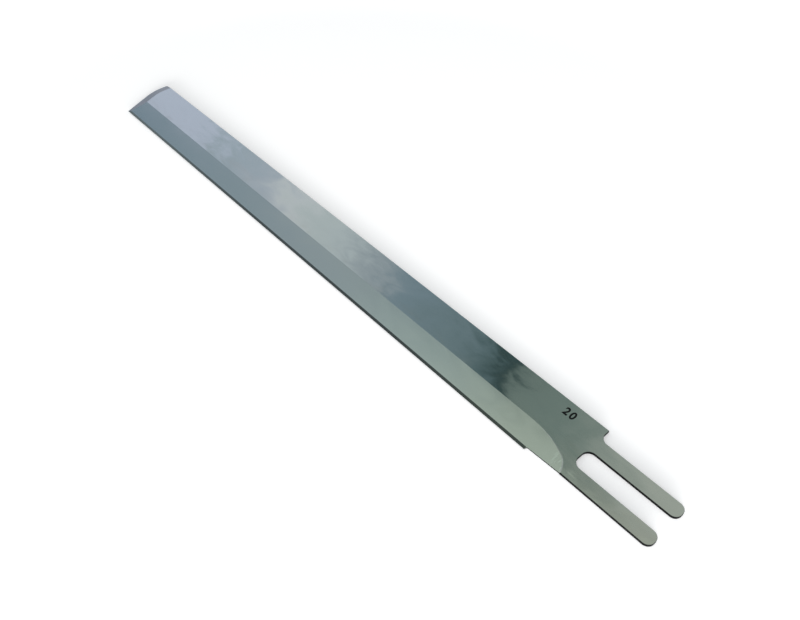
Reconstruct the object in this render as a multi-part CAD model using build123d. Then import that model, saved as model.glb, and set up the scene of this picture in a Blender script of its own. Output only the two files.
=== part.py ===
from build123d import *
import os
from math import atan, cos, radians, sin, tan

# Straight knife of a cloth cutting machine: one flat steel strip with a fork at one end.
# Sizes are millimetres, and angles are degrees. The blade lies flat on Z = 0.
# The fork points along +X, the tip along -X, the back of the blade along +Y
# and its cutting edge along -Y. The origin is the middle of the blade's length and width,
# on its underside.

# Strip
blade_thickness = 0.9
edge_break = 0.06  # chamfer that deburring leaves along the stamped edges

# Along the blade
edge_length = 203.2  # cutting edge, from the step at its heel to the point
relief_length = 10.9  # set-back line between that step and the end of the grind
grind_stop = 26.4  # ends of the fork to the end of the grind
tip_lead = 6.0  # how far the back of the tip stands out past the point

# Across the blade, from the cutting edge to the back
tang_set_back = 1.3  # edge line to the outer side of the lower tang
tang_width = 4.5  # each of the two equal tangs
slot_width = 6.15
shoulder_height = 3.75  # outer side of the upper tang to the back

# Fork
slot_depth = 26.5  # ends of the tangs to the closed end of the slot
slot_corner_radius = 2.3
tang_corner_radius = 2.0
shoulder_depth = 26.4  # ends of the tangs to the shoulder
shoulder_radius = 2.2

# Step where the cutting edge stops
step_height = 0.9
step_radius = 0.65

# Tip outline
square_end_height = 6.1  # back of the blade to the crossing of the square and the slanted end
tip_arc_radius = 17.0  # rounds that crossing
tip_corner_radius = 0.7  # corner of the tip at the back

# Main bevel, ground alike on both faces
bevel_width = 8.3  # edge line to the line where the bevel meets the flat
bevel_edge_thickness = 0.36  # thickness that the main bevel leaves behind the edge bevel
runout_gentle_radius = 27.8  # the run-out curve leaves the bevel line on this arc
runout_gentle_turn = 24.3  # and turns this far on it
runout_tight_radius = 6.7  # then turns down to the edge on this one
runout_wall_angle = 32.0  # between the run-out's wall and the flat

# Sharpened edges
edge_bevel_width = 0.85  # narrow bevel along the cutting edge
tip_bevel_width = 3.0  # bevel round the end of the tip
edge_land = 0.02  # thickness left at a sharpened edge

# Most of its free wall that a rounded corner takes
corner_share = 0.9

blade_width = tang_set_back + 2 * tang_width + slot_width + shoulder_height
heel_length = grind_stop + relief_length
overall_length = heel_length + edge_length + tip_lead
tip_lean = atan(tip_lead / (blade_width - square_end_height))
tip_end_wall = square_end_height - tip_arc_radius * tan(tip_lean / 2)
beyond = blade_width / 2  # how far the cutting bodies reach past the strip

mid_z = blade_thickness / 2
fork_end_x = overall_length / 2
grind_stop_x = fork_end_x - grind_stop
step_x = fork_end_x - heel_length
slot_end_x = fork_end_x - slot_depth
shoulder_x = fork_end_x - shoulder_depth
tip_end_x = -overall_length / 2
point_x = tip_end_x + tip_lead

edge_y = -blade_width / 2
back_y = blade_width / 2
step_y = edge_y + step_height
lower_tang_y = edge_y + tang_set_back
slot_low_y = lower_tang_y + tang_width
slot_high_y = slot_low_y + slot_width
fork_top_y = slot_high_y + tang_width
bevel_line_y = edge_y + bevel_width
square_end_y = back_y - square_end_height


def rounded(face, x, y, radius):
    """The face with its corner at x, y rounded."""
    return fillet(face.vertices().sort_by_distance(Vector(x, y, 0))[0], radius)


def blank_outline():
    """Plan of the strip before grinding, with the fork, the shoulder, the step and the tip."""
    corners = [
        (point_x, edge_y),
        (step_x, edge_y),
        (step_x, step_y),
        (grind_stop_x, lower_tang_y),
        (fork_end_x, lower_tang_y),
        (fork_end_x, slot_low_y),
        (slot_end_x, slot_low_y),
        (slot_end_x, slot_high_y),
        (fork_end_x, slot_high_y),
        (fork_end_x, fork_top_y),
        (shoulder_x, fork_top_y),
        (shoulder_x, back_y),
        (tip_end_x, back_y),
        (tip_end_x, square_end_y),
    ]
    face = make_face(Polyline(*corners, close=True))
    for y in (lower_tang_y, slot_low_y, slot_high_y, fork_top_y):
        face = rounded(face, fork_end_x, y, min(tang_corner_radius, corner_share * tang_width / 2))
    for y in (slot_low_y, slot_high_y):
        face = rounded(face, slot_end_x, y, min(slot_corner_radius, corner_share * slot_width / 2))
    face = rounded(face, shoulder_x, fork_top_y, min(shoulder_radius, corner_share * shoulder_height))
    face = rounded(face, step_x, step_y, min(step_radius, corner_share * step_height))
    face = rounded(face, tip_end_x, square_end_y, tip_arc_radius)
    return rounded(face, tip_end_x, back_y, min(tip_corner_radius, corner_share * tip_end_wall))


def blank():
    """The deburred strip, before grinding."""
    strip = extrude(blank_outline(), blade_thickness)
    levels = strip.edges().filter_by(Plane.XY).group_by(Axis.Z)
    return chamfer(levels[0] + levels[-1], edge_break)


def slope_cut(section, low_x, high_x):
    """A prism along X that takes everything above a sloping line, given as two points in Y, Z."""
    (low_y, low_z), (high_y, high_z) = section
    top_z = blade_thickness + beyond
    face = Plane.YZ * make_face(Polyline(*section, (high_y, top_z), (low_y, top_z), close=True))
    return Pos(low_x, 0, 0) * extrude(face, high_x - low_x)


def runout_face(inset):
    """Plan of what the wheel grinds, up to the bevel line and the run-out curve, less an inset."""
    line_y = bevel_line_y - inset
    gentle = runout_gentle_radius - inset
    tight = runout_tight_radius - inset
    turn = radians(runout_gentle_turn)
    spread = runout_gentle_radius - runout_tight_radius
    tight_x = grind_stop_x - runout_tight_radius
    gentle_x = tight_x - spread * sin(turn)
    gentle_y = bevel_line_y - runout_gentle_radius
    tight_y = gentle_y + spread * cos(turn)
    start = (gentle_x, line_y)
    join = (gentle_x + gentle * sin(turn), gentle_y + gentle * cos(turn))
    reach = (tight_x + tight, tight_y)
    far_x = tip_end_x - beyond
    low_y = min(tight_y, edge_y) - beyond
    curve = [
        Line((far_x, line_y), start),
        RadiusArc(start, join, gentle),
        RadiusArc(join, reach, tight),
        Polyline(reach, (reach[0], low_y), (far_x, low_y), (far_x, line_y)),
    ]
    return make_face(curve)


def main_bevel_cut():
    """What the wheel takes off the upper face: a shallow wedge that ends in a curved run-out."""
    rise = (blade_thickness - bevel_edge_thickness) / 2
    slope = rise / (bevel_width - edge_bevel_width)
    section = [
        (edge_y - beyond, blade_thickness - slope * (bevel_width + beyond)),
        (bevel_line_y + beyond, blade_thickness + slope * beyond),
    ]
    wedge = slope_cut(section, tip_end_x - beyond, fork_end_x + beyond)
    wall_run = mid_z / tan(radians(runout_wall_angle))
    levels = [
        Pos(0, 0, mid_z) * runout_face(wall_run),
        Pos(0, 0, blade_thickness + mid_z) * runout_face(-wall_run),
    ]
    return wedge & loft(levels, ruled=True)


def edge_bevel_cut():
    """What the final sharpening takes off above the cutting edge."""
    rise = (bevel_edge_thickness - edge_land) / 2
    slope = rise / edge_bevel_width
    edge_z = mid_z + edge_land / 2
    section = [
        (edge_y - beyond, edge_z - slope * beyond),
        (edge_y + beyond, edge_z + slope * beyond),
    ]
    return slope_cut(section, tip_end_x - beyond, step_x)


def tip_face(inset):
    """Plan of the blade's end, inset from the tip's outline and wide of the blade elsewhere."""
    end_x = tip_end_x + inset
    corner_y = square_end_y + inset * tan(tip_lean / 2)
    low_y = edge_y - beyond
    high_y = back_y + beyond
    low_x = end_x + (corner_y - low_y) * tan(tip_lean)
    inner_x = point_x + 2 * tip_bevel_width + 2 * beyond
    corners = [(end_x, corner_y), (low_x, low_y), (inner_x, low_y), (inner_x, high_y), (end_x, high_y)]
    face = make_face(Polyline(*corners, close=True))
    return rounded(face, end_x, corner_y, tip_arc_radius - inset)


def tip_bevel_cut():
    """What the final sharpening takes off above the outline of the tip."""
    low_z = mid_z + edge_land / 2
    high_z = blade_thickness + edge_break
    spread = tip_bevel_width / (blade_thickness - low_z)
    levels = [
        Pos(0, 0, low_z) * tip_face(0),
        Pos(0, 0, high_z) * tip_face(spread * (high_z - low_z)),
    ]
    length = tip_lead + 2 * tip_bevel_width + 2 * beyond
    corner = (Align.MIN, Align.CENTER, Align.MIN)
    block = Box(length, blade_width + beyond, high_z - low_z, align=corner)
    return Pos(tip_end_x - beyond, 0, low_z) * block - loft(levels, ruled=True)


def ground_blade():
    """The strip with its bevels, ground alike on the two faces."""
    blade = blank()
    middle = Plane.XY.offset(mid_z)
    for cut in (main_bevel_cut(), edge_bevel_cut(), tip_bevel_cut()):
        blade = blade - cut - mirror(cut, about=middle)
    return blade


os.makedirs("parts", exist_ok=True)
export_step(ground_blade(), "parts/blade.step")
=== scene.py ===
import bpy
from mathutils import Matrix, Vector


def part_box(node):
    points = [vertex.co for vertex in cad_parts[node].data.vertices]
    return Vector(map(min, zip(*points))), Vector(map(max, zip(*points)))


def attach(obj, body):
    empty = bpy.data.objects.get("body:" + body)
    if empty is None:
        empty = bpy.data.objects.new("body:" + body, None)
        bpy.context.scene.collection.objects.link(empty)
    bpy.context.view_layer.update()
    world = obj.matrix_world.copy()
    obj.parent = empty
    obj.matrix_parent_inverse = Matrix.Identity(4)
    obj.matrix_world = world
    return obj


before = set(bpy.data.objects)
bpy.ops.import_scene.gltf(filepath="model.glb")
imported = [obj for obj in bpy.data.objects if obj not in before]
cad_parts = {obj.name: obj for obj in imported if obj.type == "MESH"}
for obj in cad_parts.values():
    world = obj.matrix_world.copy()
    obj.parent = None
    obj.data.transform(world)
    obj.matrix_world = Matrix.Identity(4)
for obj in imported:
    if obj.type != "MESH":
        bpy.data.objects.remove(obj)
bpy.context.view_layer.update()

MM = 0.001
WHITE = (1.0, 1.0, 1.0)
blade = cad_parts["blade"]
low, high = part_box("blade")

# Places of a Mix node's two values and of its result among its sockets
MIX_SOCKETS = {"RGBA": (6, 7, 2), "FLOAT": (2, 3, 0)}

# Camera, as the outline of the blade in the photograph gives it
CAMERA_PLACE = Vector((0.15005, -0.10857, 0.17208))
CAMERA_AIM = Vector((0.02897, -0.00130, 0.0))
LENS = 36.23
SENSOR = 36.0
NEAR_LIMIT = 10 * MM

# Steel of the blade's faces. The flat is mirror-like, and the bevels are ground a little duller.
FLAT_STEEL = (0.59, 0.60, 0.60)
BEVEL_STEEL = (0.47, 0.49, 0.49)
RUNOUT_STEEL = (0.44, 0.49, 0.45)
TIP_STEEL = (0.25, 0.28, 0.335)
STAMPED_WALL = (0.004, 0.005, 0.005)
FLAT_ROUGHNESS = 0.09
BEVEL_ROUGHNESS = 0.15
TIP_ROUGHNESS = 0.3
EDGE_ROUGHNESS = 0.24
WALL_ROUGHNESS = 0.5

# Steel of the edge bevel, by the share of the blade's length from its tip, with its dark shade painted
# in
# Painted shade: these near-black tones, and how they change along the blade, stand for the dark
# surroundings the edge mirrors
EDGE_STEEL_WITH_PAINTED_SHADE = [
    (0.04, (0.155, 0.194, 0.203)),
    (0.42, (0.084, 0.103, 0.107)),
    (0.62, (0.073, 0.089, 0.089)),
    (0.82, (0.080, 0.100, 0.087)),
]

# Short light marks that the wheel leaves across the main bevel where it lifts off. Their size,
# and the run in which they begin, are in millimetres, the latter from the blade's middle.
LIFT_MARK_STEEL = (0.56, 0.59, 0.60)
LIFT_MARK_SIZE = (0.7, 2.2, 2.2)
LIFT_MARK_DETAIL = 1.0
LIFT_MARK_TWIST = 0.4
LIFT_MARK_SPOTS = (0.52, 0.72)
LIFT_MARKS_FROM = (89.5, 95.5)

# How level each kind of face lies: the height of its normal, which is one on the flat
FACE_LEVELS = {
    "main bevel": (0.9985, 0.9997),
    "tip bevel": (0.986, 0.992),
    "edge bevel": (0.975, 0.985),
    "run-out": (0.80, 0.90),
    "wall": (-0.1, 0.75),
}

# Lean that grinding by hand leaves in the faces, and the size of its spots in millimetres
FLAT_WAVES = 0.048
FLAT_STREAKS = 0.010
BEVEL_WAVES = 0.024
BEVEL_STREAKS = 0.004
WAVE_SIZE = (14.0, 8.0, 8.0)
WAVE_DETAIL = 2.5
WAVE_TWIST = 1.6
STREAK_SIZE = (3.0, 0.6, 0.6)
STREAK_DETAIL = 2.0
STREAK_TWIST = 0.3

# Part of the noise that the waves and streaks are cut from, its mean, and what lies level in it
WAVES_FROM = (11.0, 7.0, 31.0)
NOISE_MEAN = (0.5, 0.5, 0.5)
LEVEL_PART = (1.0, 1.0, 0.0)

# Size mark: plain figures for the blade's length class, etched on the flat near the fork
MARK_FIGURES = "20"
MARK_WIDTH = 3.65 * MM
MARK_HEIGHT = 2.75 * MM
MARK_THICKNESS = 0.006 * MM
MARK_TO_FORK_END = 34.75 * MM
MARK_TO_BACK = 2.0 * MM
MARK_SPACING = 1.3
MARK_BOLDNESS = 0.035
MARK_CURVE_STEPS = 6
MARK_BLACK = (0.003, 0.004, 0.004)
MARK_ROUGHNESS = 0.6
MARK_SHEEN = 0.15

# Floor, lifted to white where it is seen straight or mirrored, and wholly so away from the blade
FLOOR_COLOUR = (0.82, 0.82, 0.82)
FLOOR_REACH = 3.0
FLOOR_LEVEL = -0.02 * MM
FLOOR_LIFT = 0.319
FLOOR_FADE = (0.15, 0.3)

# Low soft panel on the cutting edge's side, which throws the blade's shadow past its back
LOW_PANEL_PLACE = Vector((0.73, -0.61, 0.088))
LOW_PANEL_AIM = Vector((0.0, 0.0, 0.0))
LOW_PANEL_SIZE = (1.2, 0.11)
LOW_PANEL_POWER = 34.0

# Plain dome by height, and the clouds that shade it well above the floor
LEAST_HEIGHT = 0.02
PLAIN_DOME = [
    (0.0, WHITE),
    (0.12, (0.95, 0.95, 0.95)),
    (0.45, (0.72, 0.73, 0.74)),
    (1.0, (0.62, 0.63, 0.64)),
]
CLOUD_SIZE = (0.55, 0.55, 0.55)
CLOUD_SHADES = [(0.35, (0.72, 0.72, 0.73)), (0.65, WHITE)]
CLOUD_HEIGHTS = (0.15, 0.4)

# Panels that the flat and the main bevel mirror. Places on the dome are its slopes along and
# across the blade, and a panel's place is its share of the way from over the tip to overhead.
PANEL_REACH = 1.75
PANEL_MIDDLE = 0.65
PANEL_SLANT = 0.45
PANEL_TIP_SIDE = (-2.2, -1.8)
PANEL_FORK_SIDE = (0.05, -0.12)
PANEL_NEAR_SIDE = (0.26, 0.38)
PANEL_FAR_SIDE = (1.05, 0.8)
BEVEL_TO_FLAT = (0.53, 0.575)
LOW_SHADE = (0.90, 0.87, 0.84)
LOW_SHADE_END = (0.595, 0.615)
PANELS_OVER_FLAT = [
    # Pale blue over the tip
    (0.21, (0.64, 0.72, 0.86)),
    # Cool grey, then the brightest panel and a long light one
    (0.273, (0.455, 0.56, 0.63)),
    (0.34, (0.52, 0.60, 0.68)),
    (0.395, (0.74, 0.80, 0.82)),
    (0.44, (0.61, 0.70, 0.705)),
    (0.49, (0.605, 0.695, 0.71)),
    # Slate that darkens to a narrow black card
    (0.54, (0.39, 0.465, 0.50)),
    (0.58, (0.24, 0.337, 0.387)),
    (0.66, (0.198, 0.286, 0.312)),
    (0.70, (0.11, 0.18, 0.19)),
    (0.714, (0.022, 0.056, 0.057)),
    (0.728, (0.022, 0.056, 0.057)),
    # Green grey that grows paler over the fork
    (0.739, (0.21, 0.28, 0.25)),
    (0.78, (0.212, 0.287, 0.255)),
    (0.90, (0.50, 0.55, 0.48)),
]
PANELS_OVER_BEVEL = [
    # Steel blue over the tip, cool grey in the middle and pale green over the fork
    (0.10, (0.245, 0.37, 0.47)),
    (0.36, (0.385, 0.505, 0.57)),
    (0.52, (0.465, 0.56, 0.60)),
    (0.66, (0.605, 0.735, 0.69)),
    (0.79, (0.695, 0.802, 0.667)),
]


def colour(values):
    """Red, green and blue with a full alpha."""
    return (*values, 1.0)


def new_node(tree, kind, **settings):
    """A shader node of that kind, with its properties set."""
    made = tree.nodes.new(kind)
    for name, value in settings.items():
        setattr(made, name, value)
    return made


def feed(tree, socket, source):
    """Links the source into the socket if it is one, or else sets it as a plain value."""
    if isinstance(source, bpy.types.NodeSocket):
        tree.links.new(source, socket)
    else:
        socket.default_value = source


def maths(tree, operation, *values, clamp=False):
    """The result of a Math node."""
    made = new_node(tree, "ShaderNodeMath", operation=operation, use_clamp=clamp)
    for socket, value in zip(made.inputs, values):
        feed(tree, socket, value)
    return made.outputs[0]


def vector_maths(tree, operation, *values):
    """The vector result of a Vector Math node."""
    made = new_node(tree, "ShaderNodeVectorMath", operation=operation)
    for socket, value in zip(made.inputs, values):
        feed(tree, socket, value)
    return made.outputs["Vector"]


def scaled(tree, vector, factor):
    """The vector times a number."""
    made = new_node(tree, "ShaderNodeVectorMath", operation="SCALE")
    feed(tree, made.inputs["Vector"], vector)
    feed(tree, made.inputs["Scale"], factor)
    return made.outputs["Vector"]


def parts_of(tree, vector):
    """The X, Y and Z of a vector."""
    made = new_node(tree, "ShaderNodeSeparateXYZ")
    feed(tree, made.inputs["Vector"], vector)
    return made.outputs


def run(tree, value, start, end, kind):
    """Nought before start, one past end and a rise of that kind between them."""
    made = new_node(tree, "ShaderNodeMapRange", interpolation_type=kind)
    feed(tree, made.inputs["Value"], value)
    feed(tree, made.inputs["From Min"], start)
    feed(tree, made.inputs["From Max"], end)
    return made.outputs["Result"]


def fade(tree, value, start, end):
    """Nought before start, one past end and a smooth rise between them."""
    return run(tree, value, start, end, "SMOOTHSTEP")


def mix(tree, kind, share, first, second):
    """A Mix node's result: the first where the share is nought, the second where it is one."""
    made = new_node(tree, "ShaderNodeMix", data_type=kind)
    first_socket, second_socket, result = MIX_SOCKETS[kind]
    feed(tree, made.inputs["Factor"], share)
    feed(tree, made.inputs[first_socket], first)
    feed(tree, made.inputs[second_socket], second)
    return made.outputs[result]


def mix_colour(tree, share, first, second):
    """The mix of two colours, each one a socket or red, green and blue."""
    both = [colour(tone) if isinstance(tone, tuple) else tone for tone in (first, second)]
    return mix(tree, "RGBA", share, *both)


def tinted(tree, light, tint):
    """The light through a tint."""
    product = mix_colour(tree, 1.0, light, tint)
    product.node.blend_type = "MULTIPLY"
    return product


def mix_number(tree, share, first, second):
    """The mix of two numbers."""
    return mix(tree, "FLOAT", share, first, second)


def ramp(tree, value, stops):
    """A smooth run of colours through the stops, each a place and a colour."""
    made = new_node(tree, "ShaderNodeValToRGB")
    band = made.color_ramp
    band.interpolation = "EASE"
    for element, (place, tone) in zip((band.elements[0], band.elements[1]), (stops[0], stops[-1])):
        element.position = place
        element.color = colour(tone)
    for place, tone in stops[1:-1]:
        band.elements.new(place).color = colour(tone)
    feed(tree, made.inputs["Fac"], value)
    return made.outputs["Color"]


def noise_at(tree, place, size, detail=0.0, twist=0.0):
    """Noise colours whose spots measure about the size along X, Y and Z."""
    made = new_node(tree, "ShaderNodeTexNoise")
    feed(tree, made.inputs["Vector"], vector_maths(tree, "DIVIDE", place, size))
    made.inputs["Scale"].default_value = 1.0
    made.inputs["Detail"].default_value = detail
    made.inputs["Distortion"].default_value = twist
    return made.outputs["Color"]


def clouded_dome(tree, place):
    """The plain pale dome, lighter towards the floor and shaded by soft clouds above."""
    height = parts_of(tree, place)["Z"]
    plain = ramp(tree, height, PLAIN_DOME)
    clouds = ramp(tree, noise_at(tree, place, CLOUD_SIZE), CLOUD_SHADES)
    return mix_colour(tree, fade(tree, height, *CLOUD_HEIGHTS), plain, tinted(tree, plain, clouds))


def panel_light(tree, along, across):
    """The run of soft panels: one run for the flat, and below it one for the main bevel."""
    slant = maths(tree, "MULTIPLY", maths(tree, "SUBTRACT", across, PANEL_MIDDLE), PANEL_SLANT)
    slanted = maths(tree, "ADD", along, slant)
    over_flat = ramp(tree, run(tree, slanted, -PANEL_REACH, 0.0, "LINEAR"), PANELS_OVER_FLAT)
    shaded = tinted(tree, over_flat, LOW_SHADE)
    over_flat = mix_colour(tree, fade(tree, across, *LOW_SHADE_END), shaded, over_flat)
    over_bevel = ramp(tree, run(tree, along, -PANEL_REACH, 0.0, "LINEAR"), PANELS_OVER_BEVEL)
    return mix_colour(tree, fade(tree, across, *BEVEL_TO_FLAT), over_bevel, over_flat)


def studio_dome():
    """The light round the blade: a plain pale dome, with soft panels where the faces mirror it."""
    world = bpy.data.worlds.new("studio dome")
    bpy.context.scene.world = world
    world.use_nodes = True
    tree = world.node_tree
    tree.nodes.clear()
    place = new_node(tree, "ShaderNodeTexCoord").outputs["Generated"]
    x, y, z = parts_of(tree, place)
    height = maths(tree, "MAXIMUM", z, LEAST_HEIGHT)
    along = maths(tree, "DIVIDE", x, height)
    across = maths(tree, "DIVIDE", y, height)

    sides = [
        fade(tree, along, *PANEL_TIP_SIDE),
        fade(tree, along, *PANEL_FORK_SIDE),
        fade(tree, across, *PANEL_NEAR_SIDE),
        fade(tree, across, *PANEL_FAR_SIDE),
    ]
    inside = sides[0]
    for side in sides[1:]:
        inside = maths(tree, "MULTIPLY", inside, side)
    light = mix_colour(tree, inside, clouded_dome(tree, place), panel_light(tree, along, across))

    ray = new_node(tree, "ShaderNodeLightPath")
    light = mix_colour(tree, ray.outputs["Is Camera Ray"], light, WHITE)
    backdrop = new_node(tree, "ShaderNodeBackground")
    feed(tree, backdrop.inputs["Color"], light)
    out = new_node(tree, "ShaderNodeOutputWorld")
    feed(tree, out.inputs["Surface"], backdrop.outputs["Background"])


def uneven_face_group():
    """The slightly uneven lie of a hand-ground face: slow waves, and finer streaks along the blade."""
    group = bpy.data.node_groups.new("uneven ground face", "ShaderNodeTree")
    sockets = group.interface
    sockets.new_socket("Place", in_out="INPUT", socket_type="NodeSocketVector")
    sockets.new_socket("Waves", in_out="INPUT", socket_type="NodeSocketFloat")
    sockets.new_socket("Streaks", in_out="INPUT", socket_type="NodeSocketFloat")
    sockets.new_socket("Normal", in_out="OUTPUT", socket_type="NodeSocketVector")
    start = new_node(group, "NodeGroupInput")
    end = new_node(group, "NodeGroupOutput")
    place = vector_maths(group, "ADD", start.outputs["Place"], WAVES_FROM)

    def lean(size, detail, twist, amount):
        noise = noise_at(group, place, size, detail, twist)
        return scaled(group, vector_maths(group, "SUBTRACT", noise, NOISE_MEAN), amount)

    waves = lean(WAVE_SIZE, WAVE_DETAIL, WAVE_TWIST, start.outputs["Waves"])
    streaks = lean(STREAK_SIZE, STREAK_DETAIL, STREAK_TWIST, start.outputs["Streaks"])
    sideways = vector_maths(group, "MULTIPLY", vector_maths(group, "ADD", waves, streaks), LEVEL_PART)
    true_normal = new_node(group, "ShaderNodeNewGeometry").outputs["True Normal"]
    normal = vector_maths(group, "NORMALIZE", vector_maths(group, "ADD", true_normal, sideways))
    feed(group, end.inputs["Normal"], normal)
    return group


def place_group(tree, group, **values):
    """The group as a node of this material, with its own values."""
    made = new_node(tree, "ShaderNodeGroup", node_tree=group)
    for name, value in values.items():
        feed(tree, made.inputs[name], value)
    return made


def new_material(name):
    """A material of that name, with its node tree and its shader."""
    material = bpy.data.materials.new(name)
    material.use_nodes = True
    tree = material.node_tree
    return material, tree, tree.nodes["Principled BSDF"]


def place_in_mm(tree):
    """The place on the blade, in millimetres from its middle."""
    return scaled(tree, new_node(tree, "ShaderNodeTexCoord").outputs["Object"], 1 / MM)


def face_masks(tree):
    """Where the surface is each kind of face, by how level it lies."""
    normal = new_node(tree, "ShaderNodeNewGeometry").outputs["True Normal"]
    level = maths(tree, "ABSOLUTE", parts_of(tree, normal)["Z"])
    masks = {}
    for name, (least, most) in FACE_LEVELS.items():
        over = maths(tree, "GREATER_THAN", level, least)
        under = maths(tree, "LESS_THAN", level, most)
        masks[name] = maths(tree, "MULTIPLY", over, under)
    return masks


def ground_steel(uneven_face):
    """Steel ground on its faces and bevels, and left dark where it was only stamped."""
    material, tree, shader = new_material("ground steel")
    place = place_in_mm(tree)
    from_middle = parts_of(tree, place)["X"]
    along = run(tree, from_middle, low.x / MM, high.x / MM, "LINEAR")
    masks = face_masks(tree)
    noise = noise_at(tree, place, LIFT_MARK_SIZE, LIFT_MARK_DETAIL, LIFT_MARK_TWIST)
    spots = fade(tree, parts_of(tree, noise)["X"], *LIFT_MARK_SPOTS)
    marks = maths(tree, "MULTIPLY", spots, fade(tree, from_middle, *LIFT_MARKS_FROM))
    bevel_steel = mix_colour(tree, marks, BEVEL_STEEL, LIFT_MARK_STEEL)
    finishes = {
        "main bevel": (bevel_steel, BEVEL_ROUGHNESS),
        "tip bevel": (TIP_STEEL, TIP_ROUGHNESS),
        "run-out": (RUNOUT_STEEL, FLAT_ROUGHNESS),
        # The edge bevel's colour carries painted shade, darkest towards the middle of the blade
        "edge bevel": (ramp(tree, along, EDGE_STEEL_WITH_PAINTED_SHADE), EDGE_ROUGHNESS),
        "wall": (STAMPED_WALL, WALL_ROUGHNESS),
    }
    tone = FLAT_STEEL
    rough = FLAT_ROUGHNESS
    for name, (steel, roughness) in finishes.items():
        tone = mix_colour(tree, masks[name], tone, steel)
        rough = mix_number(tree, masks[name], rough, roughness)
    feed(tree, shader.inputs["Base Color"], tone)
    feed(tree, shader.inputs["Roughness"], rough)
    shader.inputs["Metallic"].default_value = 1.0

    waves = mix_number(tree, masks["main bevel"], FLAT_WAVES, BEVEL_WAVES)
    streaks = mix_number(tree, masks["main bevel"], FLAT_STREAKS, BEVEL_STREAKS)
    uneven = place_group(tree, uneven_face, Place=place, Waves=waves, Streaks=streaks)
    feed(tree, shader.inputs["Normal"], uneven.outputs["Normal"])
    return material


def etched_mark(uneven_face):
    """The black of the etched figures, on the same uneven flat."""
    material, tree, shader = new_material("etched mark")
    shader.inputs["Base Color"].default_value = colour(MARK_BLACK)
    shader.inputs["Roughness"].default_value = MARK_ROUGHNESS
    shader.inputs["Specular IOR Level"].default_value = MARK_SHEEN
    place = place_in_mm(tree)
    uneven = place_group(tree, uneven_face, Place=place, Waves=FLAT_WAVES, Streaks=FLAT_STREAKS)
    feed(tree, shader.inputs["Normal"], uneven.outputs["Normal"])
    return material


def figures_mesh():
    """The figures of the size mark as a thin solid, from the font that Blender carries."""
    text = bpy.data.curves.new("size mark", "FONT")
    text.body = MARK_FIGURES
    text.extrude = MARK_THICKNESS / 2
    text.resolution_u = MARK_CURVE_STEPS
    text.space_character = MARK_SPACING
    text.offset = MARK_BOLDNESS
    outline = bpy.data.objects.new("size mark outline", text)
    mesh = bpy.data.meshes.new_from_object(outline)
    bpy.data.objects.remove(outline)
    return mesh


def size_mark(material):
    """The figures, stretched to their size and set level in the upper flat."""
    mesh = figures_mesh()
    across = [corner.co.x for corner in mesh.vertices]
    up = [corner.co.y for corner in mesh.vertices]
    wide = max(across) - min(across)
    tall = max(up) - min(up)
    for corner in mesh.vertices:
        corner.co.x = high.x - MARK_TO_FORK_END - MARK_WIDTH * (max(across) - corner.co.x) / wide
        corner.co.y = high.y - MARK_TO_BACK - MARK_HEIGHT * (max(up) - corner.co.y) / tall
        corner.co.z += high.z
    mesh.materials.clear()
    mesh.materials.append(material)
    piece = bpy.data.objects.new("size_mark", mesh)
    bpy.context.scene.collection.objects.link(piece)
    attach(piece, "root")


def white_floor():
    """The floor's finish: matt, and lifted to white where it is seen or mirrored, but for the shadow."""
    material = bpy.data.materials.new("white floor")
    material.use_nodes = True
    tree = material.node_tree
    tree.nodes.clear()
    matt = new_node(tree, "ShaderNodeBsdfDiffuse")
    matt.inputs["Color"].default_value = colour(FLOOR_COLOUR)
    ray = new_node(tree, "ShaderNodeLightPath")
    shown = maths(tree, "ADD", ray.outputs["Is Camera Ray"], ray.outputs["Is Glossy Ray"])
    shown = maths(tree, "ADD", shown, ray.outputs["Is Transmission Ray"], clamp=True)
    away = new_node(tree, "ShaderNodeVectorMath", operation="LENGTH")
    feed(tree, away.inputs[0], new_node(tree, "ShaderNodeTexCoord").outputs["Object"])
    lift = mix_number(tree, fade(tree, away.outputs["Value"], *FLOOR_FADE), FLOOR_LIFT, 1.0)
    glow = new_node(tree, "ShaderNodeEmission")
    feed(tree, glow.inputs["Strength"], maths(tree, "MULTIPLY", shown, lift))
    both = new_node(tree, "ShaderNodeAddShader")
    feed(tree, both.inputs[0], matt.outputs["BSDF"])
    feed(tree, both.inputs[1], glow.outputs["Emission"])
    out = new_node(tree, "ShaderNodeOutputMaterial")
    feed(tree, out.inputs["Surface"], both.outputs["Shader"])
    return material


def floor():
    """A plain white floor that keeps the blade's shadow."""
    mesh = bpy.data.meshes.new("floor")
    turns = ((-1, -1), (1, -1), (1, 1), (-1, 1))
    corners = [(x * FLOOR_REACH, y * FLOOR_REACH, FLOOR_LEVEL) for x, y in turns]
    mesh.from_pydata(corners, [], [(0, 1, 2, 3)])
    mesh.materials.append(white_floor())
    piece = bpy.data.objects.new("floor", mesh)
    bpy.context.scene.collection.objects.link(piece)


def aimed(piece, place, aim):
    """Puts a lamp or camera at the place, turned to the aim."""
    bpy.context.scene.collection.objects.link(piece)
    piece.location = place
    piece.rotation_euler = (aim - place).to_track_quat("-Z", "Y").to_euler()
    return piece


def low_panel():
    """The low soft panel, out of the steel's mirror."""
    data = bpy.data.lights.new("low panel", "AREA")
    data.shape = "RECTANGLE"
    data.size, data.size_y = LOW_PANEL_SIZE
    data.energy = LOW_PANEL_POWER
    piece = bpy.data.objects.new("low panel", data)
    aimed(piece, LOW_PANEL_PLACE, LOW_PANEL_AIM).visible_glossy = False


def camera():
    """The camera at the photograph's angle."""
    data = bpy.data.cameras.new("camera")
    data.lens = LENS
    data.sensor_width = SENSOR
    data.clip_start = NEAR_LIMIT
    piece = bpy.data.objects.new("camera", data)
    bpy.context.scene.camera = aimed(piece, CAMERA_PLACE, CAMERA_AIM)


bpy.context.scene.view_settings.view_transform = "Standard"
studio_dome()
floor()
low_panel()
camera()
uneven_face = uneven_face_group()
blade.material_slots[0].material = ground_steel(uneven_face)
size_mark(etched_mark(uneven_face))
